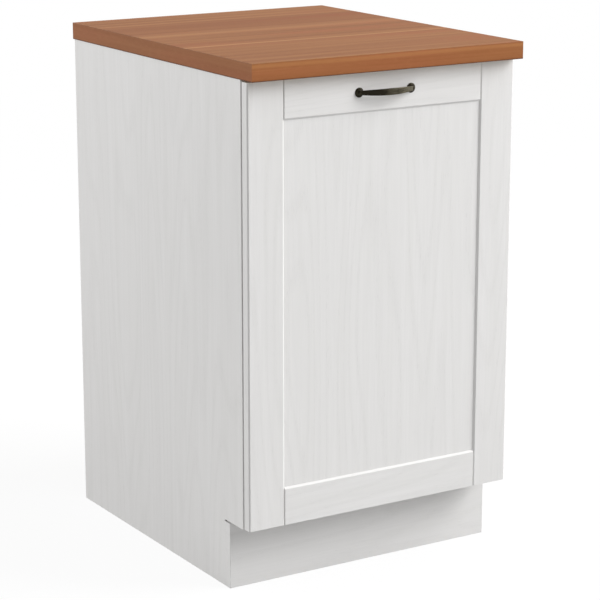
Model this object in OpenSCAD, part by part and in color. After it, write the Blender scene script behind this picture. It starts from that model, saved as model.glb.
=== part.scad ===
/* [Worktop] */
// Width of the worktop, left to right
worktop_w = 500; // [450:1:600]
// Depth of the worktop, front to back
worktop_d = 600; // [560:1:650]
// Thickness of the worktop with its laminate
worktop_t = 28; // [22:1:40]
// Thickness of the laminate on the top
laminate_t = 0.8; // [0.6:0.1:1.2]
// Thickness of the edging on the front and the two ends
edging_t = 1; // [0.8:0.1:2]
// Chamfer on the laminate's upper edges
laminate_ease = 0.5; // [0.2:0.1:0.5]

/* [Carcass] */
// Height from the floor to the top of the worktop
total_h = 850; // [780:1:920]
// Thickness of the sides, bottom, rails and plinth
board_t = 16; // [16:0.5:19]
// How far the worktop oversails each side
side_gap = 2; // [0:0.5:5]
// How far the worktop oversails the back of the sides
back_gap = 2; // [0:0.5:10]
// Depth of the two flat rails under the worktop
rail_d = 80; // [70:1:110]
// Height of the upright rail that is screwed to the wall
wall_rail_h = 64; // [50:1:90]
// Thickness of the back panel and the drawer bottoms
hardboard_t = 3; // [2.5:0.5:5]
// Distance from the back of the sides to the back panel
back_inset = 16; // [10:1:25]
// Depth of the grooves that hold the back panel
back_groove = 6; // [4:0.5:8]

/* [Toe space] */
// Height of the notch in the sides, which is the underside of the bottom
toe_h = 112; // [100:1:160]
// Depth of the toe space, from the front's face to the plinth
toe_d = 60; // [45:1:80]
// Slit between the plinth and the carcass above it
plinth_gap = 3; // [1:0.5:8]

/* [Front] */
// How far the worktop oversails the front's face
front_setback = 20; // [20:1:35]
// Thickness of the front's frame
front_t = 16; // [16:0.5:22]
// How much narrower the front is than the carcass, each side
front_reveal = 1; // [0.5:0.5:4]
// Gap between the front and the worktop
front_gap_top = 3; // [2:0.5:8]
// How much higher the front ends than the notch does
front_gap_low = 1; // [0:0.5:5]
// Gap between the front and the carcass, filled by the bumpers
bumper_gap = 2; // [1:0.1:3]
// Face width of the two stiles
stile_w = 62; // [50:1:75]
// Face height of the two rails
rail_w = 59; // [50:1:90]
// Size of the bevel around the panel, which is also its recess
bevel = 3.2; // [2.5:0.1:5]
// Thickness of the centre panel
panel_t = 6; // [4:0.5:7]
// Depth of the frame's grooves for the panel and the tongues
tongue = 10; // [6:1:12]
// Depth of the V groove at each joint of the frame
v_groove = 1.5; // [0.5:0.1:2.5]
// Radius on the front's outer upright edges
edge_r = 2; // [1:0.5:3]

/* [Handle] */
// Distance between the handle's two screws
handle_pitch = 96; // [64:1:160]
// Distance from the front's top edge down to the handle's screws
handle_drop = 30; // [20:1:40]
// How far the handle stands out from the front's face
handle_reach = 19; // [15:0.5:20]
// Thickness of the handle's strap
strap_t = 3; // [2:0.1:4]
// Height of the strap in the middle
strap_h = 10.5; // [8:0.1:13]
// Height of the strap at its ends
strap_end_h = 7; // [5:0.1:7.8]
// Diameter of the round foot at each end of the strap
foot_d = 8; // [8:0.1:10]
// How far the top of each foot stands out from the front's face
foot_reach = 6.5; // [6:0.1:9]
// Diameter of the rosettes
rosette_d = 15.5; // [12:0.5:20]
// Thickness of the rosettes
rosette_t = 3; // [2:0.1:4]

/* [Drawer boxes] */
// Thickness of the drawer box boards
box_t = 12; // [10:0.5:15]
// Height of the lower drawer box
lower_box_h = 220; // [120:1:280]
// Height of the upper drawer box
upper_box_h = 120; // [110:1:180]
// Gap between the carcass bottom and the lower box
lower_box_lift = 15; // [8:1:40]
// Height of the upper box's underside over the lower box's
upper_box_lift = 317; // [300:1:340]
// Height of the drawer bottom over the box's lower edge
box_bottom_rise = 10; // [6:1:15]
// Depth of the grooves that hold the drawer bottom
box_groove = 5; // [3:0.5:6]
// Room left between the box's back and the end of its runners
box_back_gap = 5; // [0:1:30]

/* [Runners] */
// Height of the runner
runner_h = 45.5; // [42:0.5:50]
// Thickness of the runner, between the side and the drawer box
runner_w = 12.7; // [12.7:0.1:14]
// Thickness of the runner's steel
steel_t = 1.2; // [0.8:0.1:1.2]
// Diameter of the runner's balls
ball_d = 3.2; // [2.5:0.1:3.5]
// Height of the runner's middle over the box's lower edge
runner_rise = 45; // [40:1:60]
// Distance from the carcass front to the runners
runner_front_gap = 3; // [2:1:10]
// Room left behind the runners, up to the back panel
runner_back_gap = 38; // [25:1:80]
// Balls in each row of a ball cage
balls_per_row = 6; // [4:1:8]

/* [Fixings] */
// Diameter of the carcass dowels
dowel_d = 8; // [6:1:8]
// Length of the carcass dowels
dowel_l = 30; // [25:1:35]
// Diameter of the dowels in the drawer boxes
box_dowel_d = 6; // [5:1:6]
// Length of the dowels in the drawer boxes
box_dowel_l = 25; // [20:1:30]
// Diameter of the cam locks
cam_d = 15; // [12:1:15]
// Height of the cam locks
cam_h = 12.3; // [11:0.1:12.5]
// Distance from a board's end to its cam locks
cam_reach = 34; // [24:1:34]
// Distance between the two wall screws
wall_hole_pitch = 300; // [200:1:340]
// Diameter of the two wall screw holes
wall_hole_d = 6; // [5:0.5:8]

/* [Hidden] */
// Smoothness of round shapes, of small ones, and of the handle's two wide arcs
$fn = 64;
small_fn = 32;
bow_fn = 360;
swell_fn = 1440;
// Clearance between a pin and its hole, and at the end of a blind hole
pin_play = 0.05;
end_play = 0.5;
// Gap that keeps flat boards free in their grooves
groove_play = 0.5;
// Extra length that takes a cut past a face
past = 1;

// Places front to back, with the origin at the middle of the footprint
front_y = front_setback - worktop_d / 2;
front_back_y = front_y + front_t;
carcass_y = front_back_y + bumper_gap;
carcass_back_y = worktop_d / 2 - back_gap;
back_panel_y = carcass_back_y - back_inset - hardboard_t;
plinth_y = front_y + toe_d;
toe_edge_y = plinth_y + board_t;

// Widths, from the worktop inwards
carcass_w = worktop_w - 2 * side_gap;
inner_w = carcass_w - 2 * board_t;
inner_x = inner_w / 2;
front_w = carcass_w - 2 * front_reveal;
box_w = inner_w - 2 * runner_w;
box_x = box_w / 2;
box_inner_x = box_x - box_t;

// Heights, from the floor up
carcass_h = total_h - worktop_t;
rail_z = carcass_h - board_t;
bottom_top_z = toe_h + board_t;
plinth_h = toe_h - plinth_gap;
front_z = toe_h + front_gap_low;
front_top_z = carcass_h - front_gap_top;
front_h = front_top_z - front_z;
wall_rail_z = rail_z - wall_rail_h;
core_t = worktop_t - laminate_t;

// Drawer boxes as [lower edge, height], and the heights of their runners
lower_z = bottom_top_z + lower_box_lift;
upper_z = lower_z + upper_box_lift;
LOWER = [lower_z, lower_box_h];
UPPER = [upper_z, upper_box_h];
BOXES = [LOWER, UPPER];
RUNNER_HEIGHTS = [for (b = BOXES) b[0] + runner_rise];

// Runner length and the places of its members in thickness
runner_y = carcass_y + runner_front_gap;
runner_l = back_panel_y - runner_back_gap - runner_y;
box_back_y = runner_y + runner_l - box_back_gap;
race_play = 0.2;
race_gap = ball_d + race_play;
cage_t = 0.6;
web_gap = 0.4;
screw_head_h = 1;
screw_head_gap = 0.3;
inner_cage_gap = 0.5;
flange_back = 2.1;
lip = 1;
outer_cage_x = steel_t + screw_head_h + screw_head_gap;
middle_x = outer_cage_x + cage_t + web_gap;
inner_cage_x = middle_x + steel_t + inner_cage_gap;
middle_half = runner_h / 2 - steel_t - race_gap;
drawer_half = middle_half - steel_t - race_gap;
outer_ball_reach = 3.7;
inner_ball_reach = 2.7;
outer_ball_x = middle_x + outer_ball_reach;
inner_ball_x = inner_cage_x + inner_ball_reach;
outer_ball_z = middle_half + race_gap / 2;
inner_ball_z = drawer_half + race_gap / 2;
cage_flange = 4;
cage_share = 0.4;
cage_l = runner_l * cage_share;
cage_y = runner_y + (runner_l - cage_l) / 2;

// Places of the fixings
runner_screw_inset = 37;
RUNNER_SCREWS = [
    for (k = [runner_screw_inset, runner_l / 2, runner_l - runner_screw_inset]) runner_y + k
];
runner_screw_d = 3.5;
runner_screw_head_d = 7;
cabinet_screw_l = 12;
drawer_screw_cover = 2;
drawer_screw_l = box_t - drawer_screw_cover;
dowel_step = 32;
bottom_inset = 50;
rail_mid_y = carcass_y + rail_d / 2;
rear_rail_mid_y = back_panel_y - rail_d / 2;
bottom_mid_z = toe_h + board_t / 2;
rail_mid_z = rail_z + board_t / 2;
CAM_SPOTS = [
    [carcass_y + bottom_inset, toe_h],
    [back_panel_y - bottom_inset, toe_h],
    [rail_mid_y - dowel_step / 2, rail_z],
    [rear_rail_mid_y - dowel_step / 2, rail_z]
];
wall_rail_mid_y = back_panel_y - board_t / 2;
DOWEL_SPOTS = [
    [carcass_y + bottom_inset + dowel_step, bottom_mid_z],
    [back_panel_y - bottom_inset - dowel_step, bottom_mid_z],
    [rail_mid_y + dowel_step / 2, rail_mid_z],
    [rear_rail_mid_y + dowel_step / 2, rail_mid_z],
    [wall_rail_mid_y, wall_rail_z + board_t],
    [wall_rail_mid_y, rail_z - board_t]
];
dowel_in_side = 12;
cam_bolt_thread_d = 5;
cam_bolt_thread_l = 11;
cam_bolt_d = 6;
cam_bolt_head_d = 7;
cam_bolt_head_l = 5;
cam_bolt_bore_d = 8;
cam_slot_rim = 3;
cam_slot_w = 1.2;
cam_slot_depth = 1.5;
cam_slot_l = cam_d - 2 * cam_slot_rim;
worktop_screw_inset = 82;
WORKTOP_SCREWS = [
    for (side = [-1, 1], y = [rail_mid_y, rear_rail_mid_y])
        [side * (inner_x - worktop_screw_inset), y]
];
worktop_screw_d = 4;
worktop_screw_in_top = 14;
worktop_screw_l = board_t + worktop_screw_in_top;
worktop_screw_head_d = 8;
worktop_screw_head_h = 2.4;
nail_d = 1.4;
nail_l = 20;
nail_head_d = 3.2;
nail_head_h = 0.5;
nails_per_row = 4;
NAILS = [
    for (k = [1:nails_per_row], z = [bottom_mid_z, rail_mid_z])
        [((k - 1 / 2) / nails_per_row - 1 / 2) * inner_w, z]
];
bracket_leg = 25;
bracket_t = 3;
bracket_h = 40;
bracket_z = 35;
bracket_screw_l = 12;
bracket_screw_head_h = 2;
bumper_d = 8;
bumper_play = 0.2;
bumper_t = bumper_gap - bumper_play;
bumper_inset = 25;
bumper_x = (inner_x + front_w / 2) / 2;
front_screw_d = 4;
front_screw_cover = 5;
front_screw_l = box_t + front_t - front_screw_cover;
front_screw_head_d = 8;
front_screw_head_h = 2.4;
front_screw_inset = 12;
handle_screw_d = 4;
handle_screw_head_d = 8;
handle_screw_head_h = 2.2;
foot_cap = 1;
rosette_rim = 1;
box_dowel_in_side = 8;
box_dowel_low = 30;
box_dowel_high = 20;
front_screw_low = 50;
front_screw_high = 40;
BOX_DOWELS = [for (b = BOXES, z = [b[0] + box_dowel_low, b[0] + b[1] - box_dowel_high]) z];
FRONT_SCREWS = [for (b = BOXES, z = [b[0] + front_screw_low, b[0] + b[1] - front_screw_high]) z];

// Places on the front
handle_z = front_top_z - handle_drop;
opening_x = front_w / 2 - stile_w;
stile_inner_x = opening_x - bevel;
groove_x = stile_inner_x + tongue;
rail_full = rail_w + bevel;

// Colours, as the photograph shows them
white = "#dcdcda";
inner_white = "#e6e6e3";
cherry = "#a87b5f";
cherry_edge = "#a0673f";
chipboard = "#b9986b";
beech = "#d2b184";
zinc = "#b5b8ba";
bronze = "#3d3a2e";
clear_rubber = "#cfd2d0";

// A block from its lowest corner to its highest
module block(low, high) {
    translate(low) cube(high - low);
}

// A round bar along X, Y or Z between two points on that axis
module bar_x(d, x0, x1, y, z) {
    translate([x0, y, z]) rotate([0, 90, 0]) cylinder(d = d, h = x1 - x0);
}

module bar_y(d, y0, y1, x, z) {
    translate([x, y0, z]) rotate([-90, 0, 0]) cylinder(d = d, h = y1 - y0);
}

module bar_z(d, z0, z1, x, y) {
    translate([x, y, z0]) cylinder(d = d, h = z1 - z0);
}

// The right-hand copy of its children as they are, and the left-hand one mirrored
module both_sides() {
    children();
    mirror([1, 0, 0]) children();
}

// Side panel, seen from the right-hand side of the cabinet
module side_panel() {
    difference() {
        translate([inner_x, 0, 0]) rotate([90, 0, 90]) linear_extrude(board_t)
            polygon([
                [toe_edge_y, 0], [carcass_back_y, 0], [carcass_back_y, carcass_h],
                [carcass_y, carcass_h], [carcass_y, toe_h], [toe_edge_y, toe_h]
            ]);
        block([inner_x - past, back_panel_y, -past],
              [inner_x + back_groove, back_panel_y + hardboard_t, carcass_h + past]);
        for (s = CAM_SPOTS)
            bar_x(cam_bolt_thread_d + 2 * pin_play, inner_x - past,
                  inner_x + cam_bolt_thread_l + end_play, s[0], s[1] + board_t / 2);
        for (s = DOWEL_SPOTS)
            bar_x(dowel_d + 2 * pin_play, inner_x - past,
                  inner_x + dowel_in_side + end_play, s[0], s[1]);
        for (z = RUNNER_HEIGHTS, y = RUNNER_SCREWS)
            bar_x(runner_screw_d + 2 * pin_play, inner_x - past,
                  inner_x + cabinet_screw_l + end_play, y, z);
        bar_x(runner_screw_d + 2 * pin_play, inner_x - past,
              inner_x + bracket_screw_l + end_play,
              toe_edge_y + bracket_leg / 2, bracket_z + bracket_h / 2);
    }
}

module side_panel_left() {
    color(white) mirror([1, 0, 0]) side_panel();
}

module side_panel_right() {
    color(white) side_panel();
}

// Holes in a board's two ends for the dowels and cam locks at the given heights
module end_holes(low_z, high_z) {
    both_sides() {
        for (s = DOWEL_SPOTS)
            if (s[1] > low_z && s[1] < high_z)
                bar_x(dowel_d + 2 * pin_play, inner_x + dowel_in_side - dowel_l - end_play,
                      inner_x + past, s[0], s[1]);
        for (s = CAM_SPOTS)
            if (s[1] + board_t / 2 > low_z && s[1] + board_t / 2 < high_z) {
                bar_x(cam_bolt_bore_d, inner_x - cam_reach, inner_x + past,
                      s[0], s[1] + board_t / 2);
                bar_z(cam_d + 2 * pin_play, s[1] - past, s[1] + cam_h,
                      inner_x - cam_reach, s[0]);
            }
    }
}

// Blind holes for the nails that come through the back panel
module nail_holes(low_z, high_z) {
    for (n = NAILS)
        if (n[1] > low_z && n[1] < high_z)
            bar_y(nail_d + 2 * pin_play, back_panel_y + hardboard_t - nail_l - end_play,
                  back_panel_y + past, n[0], n[1]);
}

module bottom_panel() {
    color(white) difference() {
        block([-inner_x, carcass_y, toe_h], [inner_x, back_panel_y, bottom_top_z]);
        end_holes(toe_h, bottom_top_z);
        nail_holes(toe_h, bottom_top_z);
    }
}

// Hardboard back, held in the grooves of the sides
module back_panel() {
    half = inner_x + back_groove - groove_play;
    color(inner_white) difference() {
        block([-half, back_panel_y, toe_h], [half, back_panel_y + hardboard_t, carcass_h]);
        for (n = NAILS)
            bar_y(nail_d + 2 * pin_play, back_panel_y - past,
                  back_panel_y + hardboard_t + past, n[0], n[1]);
        wall_holes();
    }
}

// The two holes for the wall screws
module wall_holes() {
    for (x = [-wall_hole_pitch / 2, wall_hole_pitch / 2])
        bar_y(wall_hole_d, back_panel_y - board_t - past,
              back_panel_y + hardboard_t + past, x, wall_rail_z + wall_rail_h / 2);
}

// Flat rail under the worktop, from its front edge
module flat_rail(y) {
    color(white) difference() {
        block([-inner_x, y, rail_z], [inner_x, y + rail_d, carcass_h]);
        end_holes(rail_z, carcass_h);
        for (s = WORKTOP_SCREWS)
            bar_z(worktop_screw_d + 2 * pin_play, rail_z - past, carcass_h + past, s[0], s[1]);
        if (y > 0) nail_holes(rail_z, carcass_h);
    }
}

module front_rail() {
    flat_rail(carcass_y);
}

module rear_rail() {
    flat_rail(back_panel_y - rail_d);
}

module wall_rail() {
    color(white) difference() {
        block([-inner_x, back_panel_y - board_t, wall_rail_z], [inner_x, back_panel_y, rail_z]);
        end_holes(wall_rail_z, rail_z);
        wall_holes();
    }
}

// Plinth board, on the notched edges of the sides
module plinth_board() {
    color(white) difference() {
        block([-carcass_w / 2, plinth_y, 0], [carcass_w / 2, toe_edge_y, plinth_h]);
        both_sides()
            bar_y(runner_screw_d + 2 * pin_play, toe_edge_y - bracket_screw_l - end_play,
                  toe_edge_y + past, inner_x - bracket_leg / 2, bracket_z + bracket_h / 2);
    }
}

// Moulded angles that join the plinth to the sides
module plinth_brackets() {
    mid_z = bracket_z + bracket_h / 2;
    color(inner_white) both_sides() difference() {
        translate([inner_x, toe_edge_y, bracket_z]) linear_extrude(bracket_h)
            polygon([
                [0, 0], [0, bracket_leg], [-bracket_t, bracket_leg], [-bracket_t, bracket_t * 2],
                [-bracket_t * 2, bracket_t], [-bracket_leg, bracket_t], [-bracket_leg, 0]
            ]);
        bar_x(runner_screw_d + 2 * pin_play, inner_x - bracket_t - past, inner_x + past,
              toe_edge_y + bracket_leg / 2, mid_z);
        bar_y(runner_screw_d + 2 * pin_play, toe_edge_y - past, toe_edge_y + bracket_t + past,
              inner_x - bracket_leg / 2, mid_z);
    }
}

module plinth_screws() {
    mid_z = bracket_z + bracket_h / 2;
    head_x = inner_x - bracket_t;
    head_y = toe_edge_y + bracket_t;
    color(zinc) both_sides() {
        union() {
            bar_x(runner_screw_d, head_x, inner_x + bracket_screw_l,
                  toe_edge_y + bracket_leg / 2, mid_z);
            bar_x(runner_screw_head_d, head_x - bracket_screw_head_h, head_x,
                  toe_edge_y + bracket_leg / 2, mid_z);
        }
        union() {
            bar_y(runner_screw_d, toe_edge_y - bracket_screw_l, head_y,
                  inner_x - bracket_leg / 2, mid_z);
            bar_y(runner_screw_head_d, head_y, head_y + bracket_screw_head_h,
                  inner_x - bracket_leg / 2, mid_z);
        }
    }
}

module carcass_dowels() {
    color(beech) both_sides() for (s = DOWEL_SPOTS)
        bar_x(dowel_d, inner_x + dowel_in_side - dowel_l, inner_x + dowel_in_side, s[0], s[1]);
}

// Cam locks, with a mouth for the bolt and a cross slot for the screwdriver
module cam_locks() {
    color(zinc) both_sides() for (s = CAM_SPOTS)
        difference() {
            bar_z(cam_d, s[1], s[1] + cam_h - pin_play, inner_x - cam_reach, s[0]);
            bar_x(cam_bolt_bore_d, inner_x - cam_reach - cam_bolt_head_l,
                  inner_x, s[0], s[1] + board_t / 2);
            translate([inner_x - cam_reach, s[0], s[1]]) {
                cube([cam_slot_l, cam_slot_w, 2 * cam_slot_depth], center = true);
                cube([cam_slot_w, cam_slot_l, 2 * cam_slot_depth], center = true);
            }
        }
}

module cam_bolts() {
    head_x = inner_x - cam_reach - cam_bolt_head_l / 2;
    color(zinc) both_sides() for (s = CAM_SPOTS)
        union() {
            bar_x(cam_bolt_head_d, head_x, head_x + cam_bolt_head_l, s[0], s[1] + board_t / 2);
            bar_x(cam_bolt_d, head_x + cam_bolt_head_l, inner_x, s[0], s[1] + board_t / 2);
            bar_x(cam_bolt_thread_d, inner_x, inner_x + cam_bolt_thread_l,
                  s[0], s[1] + board_t / 2);
        }
}

module back_nails() {
    back_y = back_panel_y + hardboard_t;
    color(zinc) for (n = NAILS)
        union() {
            bar_y(nail_d, back_y - nail_l, back_y, n[0], n[1]);
            bar_y(nail_head_d, back_y, back_y + nail_head_h, n[0], n[1]);
        }
}

// Chipboard core of the worktop
module worktop_core() {
    half = worktop_w / 2 - edging_t;
    color(chipboard) difference() {
        block([-half, edging_t - worktop_d / 2, carcass_h],
              [half, worktop_d / 2, carcass_h + core_t]);
        for (s = WORKTOP_SCREWS)
            bar_z(worktop_screw_d + 2 * pin_play, carcass_h - past,
                  rail_z + worktop_screw_l + end_play, s[0], s[1]);
    }
}

// Laminate over the core and the edging, with its upper edges eased
module worktop_laminate() {
    x = worktop_w / 2;
    y = worktop_d / 2;
    z0 = total_h - laminate_t;
    e = laminate_ease;
    color(cherry) intersection() {
        translate([0, y, 0]) rotate([90, 0, 0]) linear_extrude(worktop_d)
            polygon([
                [-x, z0], [x, z0], [x, total_h - e], [x - e, total_h],
                [e - x, total_h], [-x, total_h - e]
            ]);
        translate([-x, 0, 0]) rotate([90, 0, 90]) linear_extrude(worktop_w)
            polygon([[-y, z0], [y, z0], [y, total_h], [e - y, total_h], [-y, total_h - e]]);
    }
}

module worktop_edging_front() {
    color(cherry_edge)
        block([-worktop_w / 2, -worktop_d / 2, carcass_h],
              [worktop_w / 2, edging_t - worktop_d / 2, carcass_h + core_t]);
}

module end_edging() {
    color(cherry_edge)
        block([worktop_w / 2 - edging_t, edging_t - worktop_d / 2, carcass_h],
              [worktop_w / 2, worktop_d / 2, carcass_h + core_t]);
}

module worktop_edging_left() {
    mirror([1, 0, 0]) end_edging();
}

module worktop_edging_right() {
    end_edging();
}

module worktop_screws() {
    color(zinc) for (s = WORKTOP_SCREWS)
        union() {
            bar_z(worktop_screw_d, rail_z, rail_z + worktop_screw_l, s[0], s[1]);
            bar_z(worktop_screw_head_d, rail_z - worktop_screw_head_h, rail_z, s[0], s[1]);
        }
}

// A C channel along Y: web at x0, flanges reaching to x1, lips turned in at their ends
module channel(x0, x1, half, t, lip_h, y, l) {
    d = x1 > x0 ? t : -t;
    translate([0, y + l, 0]) rotate([90, 0, 0]) linear_extrude(l)
        polygon([
            [x0, -half], [x1, -half], [x1, t + lip_h - half], [x1 - d, t + lip_h - half],
            [x1 - d, t - half], [x0 + d, t - half], [x0 + d, half - t], [x1 - d, half - t],
            [x1 - d, half - t - lip_h], [x1, half - t - lip_h], [x1, half], [x0, half]
        ]);
}

// Moves a runner member from the runner's own section to the cabinet's right side
module on_right(z) {
    translate([inner_x, 0, z]) mirror([1, 0, 0]) children();
}

// Runner member fixed to the cabinet side
module cabinet_runner(z) {
    color(zinc) on_right(z) difference() {
        channel(0, runner_w - flange_back, runner_h / 2, steel_t, lip, runner_y, runner_l);
        for (y = RUNNER_SCREWS)
            bar_x(runner_screw_d + 2 * pin_play, -past, steel_t + past, y, 0);
    }
}

module cabinet_runner_lower_left() {
    mirror([1, 0, 0]) cabinet_runner(RUNNER_HEIGHTS[0]);
}

module cabinet_runner_lower_right() {
    cabinet_runner(RUNNER_HEIGHTS[0]);
}

module cabinet_runner_upper_left() {
    mirror([1, 0, 0]) cabinet_runner(RUNNER_HEIGHTS[1]);
}

module cabinet_runner_upper_right() {
    cabinet_runner(RUNNER_HEIGHTS[1]);
}

module cabinet_runner_screws() {
    color(zinc) both_sides() for (z = RUNNER_HEIGHTS, y = RUNNER_SCREWS)
        on_right(z) union() {
            bar_x(runner_screw_d, -cabinet_screw_l, steel_t, y, 0);
            bar_x(runner_screw_head_d, steel_t, steel_t + screw_head_h, y, 0);
        }
}

// Runner member between the other two
module middle_runner(z) {
    color(zinc) on_right(z)
        channel(middle_x, runner_w - flange_back, middle_half, steel_t, lip, runner_y, runner_l);
}

module middle_runner_lower_left() {
    mirror([1, 0, 0]) middle_runner(RUNNER_HEIGHTS[0]);
}

module middle_runner_lower_right() {
    middle_runner(RUNNER_HEIGHTS[0]);
}

module middle_runner_upper_left() {
    mirror([1, 0, 0]) middle_runner(RUNNER_HEIGHTS[1]);
}

module middle_runner_upper_right() {
    middle_runner(RUNNER_HEIGHTS[1]);
}

// Places of the balls along a cage
function ball_ys() = [for (k = [0:balls_per_row - 1]) cage_y + cage_l * (k + 0.5) / balls_per_row];

// Pressed strip that keeps the balls apart, one hole for each ball
module ball_cage(x, ball_x, ball_z) {
    difference() {
        channel(x, ball_x + cage_flange / 2, ball_z + cage_t / 2, cage_t, 0, cage_y, cage_l);
        for (y = ball_ys())
            bar_z(race_gap, -ball_z - past, ball_z + past, ball_x, y);
    }
}

module ball_rows(ball_x, ball_z) {
    for (y = ball_ys(), z = [-ball_z, ball_z])
        translate([ball_x, y, z]) sphere(d = ball_d, $fn = small_fn);
}

module outer_ball_cages() {
    color(zinc) both_sides() for (z = RUNNER_HEIGHTS)
        on_right(z) ball_cage(outer_cage_x, outer_ball_x, outer_ball_z);
}

module outer_balls() {
    color(zinc) both_sides() for (z = RUNNER_HEIGHTS)
        on_right(z) ball_rows(outer_ball_x, outer_ball_z);
}

module inner_ball_cages() {
    color(zinc) both_sides() for (z = RUNNER_HEIGHTS)
        on_right(z) ball_cage(inner_cage_x, inner_ball_x, inner_ball_z);
}

module inner_balls() {
    color(zinc) both_sides() for (z = RUNNER_HEIGHTS)
        on_right(z) ball_rows(inner_ball_x, inner_ball_z);
}

// Runner member fixed to the drawer box
module drawer_runner(z) {
    color(zinc) on_right(z) difference() {
        channel(runner_w, inner_ball_x - ball_d / 2, drawer_half, steel_t, 0, runner_y, runner_l);
        for (y = RUNNER_SCREWS)
            bar_x(runner_screw_d + 2 * pin_play, runner_w - steel_t - past, runner_w + past, y, 0);
    }
}

module drawer_runner_lower_left() {
    mirror([1, 0, 0]) drawer_runner(RUNNER_HEIGHTS[0]);
}

module drawer_runner_lower_right() {
    drawer_runner(RUNNER_HEIGHTS[0]);
}

module drawer_runner_upper_left() {
    mirror([1, 0, 0]) drawer_runner(RUNNER_HEIGHTS[1]);
}

module drawer_runner_upper_right() {
    drawer_runner(RUNNER_HEIGHTS[1]);
}

module drawer_runner_screws() {
    head_x = runner_w - steel_t;
    color(zinc) both_sides() for (z = RUNNER_HEIGHTS, y = RUNNER_SCREWS)
        on_right(z) union() {
            bar_x(runner_screw_d, head_x, runner_w + drawer_screw_l, y, 0);
            bar_x(runner_screw_head_d, head_x - screw_head_h, head_x, y, 0);
        }
}

// Holes for the dowels at the corners of both drawer boxes
module box_dowel_holes() {
    both_sides() for (y = [front_back_y + box_t / 2, box_back_y - box_t / 2], z = BOX_DOWELS)
        bar_x(box_dowel_d + 2 * pin_play,
              box_inner_x + box_dowel_in_side - box_dowel_l - end_play,
              box_inner_x + box_dowel_in_side + end_play, y, z);
}

// Side of a drawer box given as [lower edge, height]
module box_side(b) {
    groove_z = b[0] + box_bottom_rise;
    color(inner_white) difference() {
        block([box_inner_x, front_back_y, b[0]], [box_x, box_back_y, b[0] + b[1]]);
        block([box_inner_x - past, front_back_y - past, groove_z],
              [box_inner_x + box_groove, box_back_y + past, groove_z + hardboard_t]);
        for (y = RUNNER_SCREWS)
            bar_x(runner_screw_d + 2 * pin_play, box_x - drawer_screw_l - end_play,
                  box_x + past, y, b[0] + runner_rise);
        box_dowel_holes();
    }
}

module lower_box_side_left() {
    mirror([1, 0, 0]) box_side(LOWER);
}

module lower_box_side_right() {
    box_side(LOWER);
}

module upper_box_side_left() {
    mirror([1, 0, 0]) box_side(UPPER);
}

module upper_box_side_right() {
    box_side(UPPER);
}

// Front board of a drawer box, which carries the cabinet's front
module box_front(b) {
    groove_z = b[0] + box_bottom_rise;
    color(inner_white) difference() {
        block([-box_inner_x, front_back_y, b[0]],
              [box_inner_x, front_back_y + box_t, b[0] + b[1]]);
        block([-box_x, front_back_y + box_t - box_groove, groove_z],
              [box_x, front_back_y + box_t + past, groove_z + hardboard_t]);
        box_dowel_holes();
        both_sides() for (z = FRONT_SCREWS)
            bar_y(front_screw_d + 2 * pin_play, front_back_y - past,
                  front_back_y + box_t + past, box_inner_x - front_screw_inset, z);
    }
}

module lower_box_front() {
    box_front(LOWER);
}

module upper_box_front() {
    box_front(UPPER);
}

// Back board of a drawer box, standing on the drawer bottom
module box_back(b) {
    color(inner_white) difference() {
        block([-box_inner_x, box_back_y - box_t, b[0] + box_bottom_rise + hardboard_t],
              [box_inner_x, box_back_y, b[0] + b[1]]);
        box_dowel_holes();
    }
}

module lower_box_back() {
    box_back(LOWER);
}

module upper_box_back() {
    box_back(UPPER);
}

// Hardboard drawer bottom, slid into the grooves from behind
module box_bottom(b) {
    half = box_inner_x + box_groove - groove_play;
    z = b[0] + box_bottom_rise;
    color(inner_white)
        block([-half, front_back_y + box_t - box_groove + groove_play, z],
              [half, box_back_y, z + hardboard_t]);
}

module lower_box_bottom() {
    box_bottom(LOWER);
}

module upper_box_bottom() {
    box_bottom(UPPER);
}

module box_dowels() {
    color(beech) both_sides()
        for (y = [front_back_y + box_t / 2, box_back_y - box_t / 2], z = BOX_DOWELS)
            bar_x(box_dowel_d, box_inner_x + box_dowel_in_side - box_dowel_l,
                  box_inner_x + box_dowel_in_side, y, z);
}

// Screws from inside the drawer boxes into the front's stiles
module front_screws() {
    head_y = front_back_y + box_t;
    x = box_inner_x - front_screw_inset;
    color(zinc) both_sides() for (z = FRONT_SCREWS)
        union() {
            bar_y(front_screw_d, head_y - front_screw_l, head_y, x, z);
            bar_y(front_screw_head_d, head_y, head_y + front_screw_head_h, x, z);
        }
}

// Stile of the front, with the bevel and the groove along its inner edge
module front_stile() {
    groove_y = front_y + bevel;
    outer_x = front_w / 2;
    color(white) difference() {
        translate([0, 0, front_z]) linear_extrude(front_h)
            polygon([
                [outer_x, front_y], [opening_x, front_y], [stile_inner_x, groove_y],
                [groove_x, groove_y], [groove_x, groove_y + panel_t],
                [stile_inner_x, groove_y + panel_t], [stile_inner_x, front_back_y],
                [outer_x, front_back_y]
            ]);
        difference() {
            block([outer_x - edge_r, front_y - past, front_z - past],
                  [outer_x + past, front_y + edge_r, front_top_z + past]);
            bar_z(2 * edge_r, front_z - 2 * past, front_top_z + 2 * past,
                  outer_x - edge_r, front_y + edge_r);
        }
        for (z = FRONT_SCREWS)
            bar_y(front_screw_d + 2 * pin_play,
                  front_back_y + box_t - front_screw_l - end_play, front_back_y + past,
                  box_inner_x - front_screw_inset, z);
    }
}

module front_stile_left() {
    mirror([1, 0, 0]) front_stile();
}

module front_stile_right() {
    front_stile();
}

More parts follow.
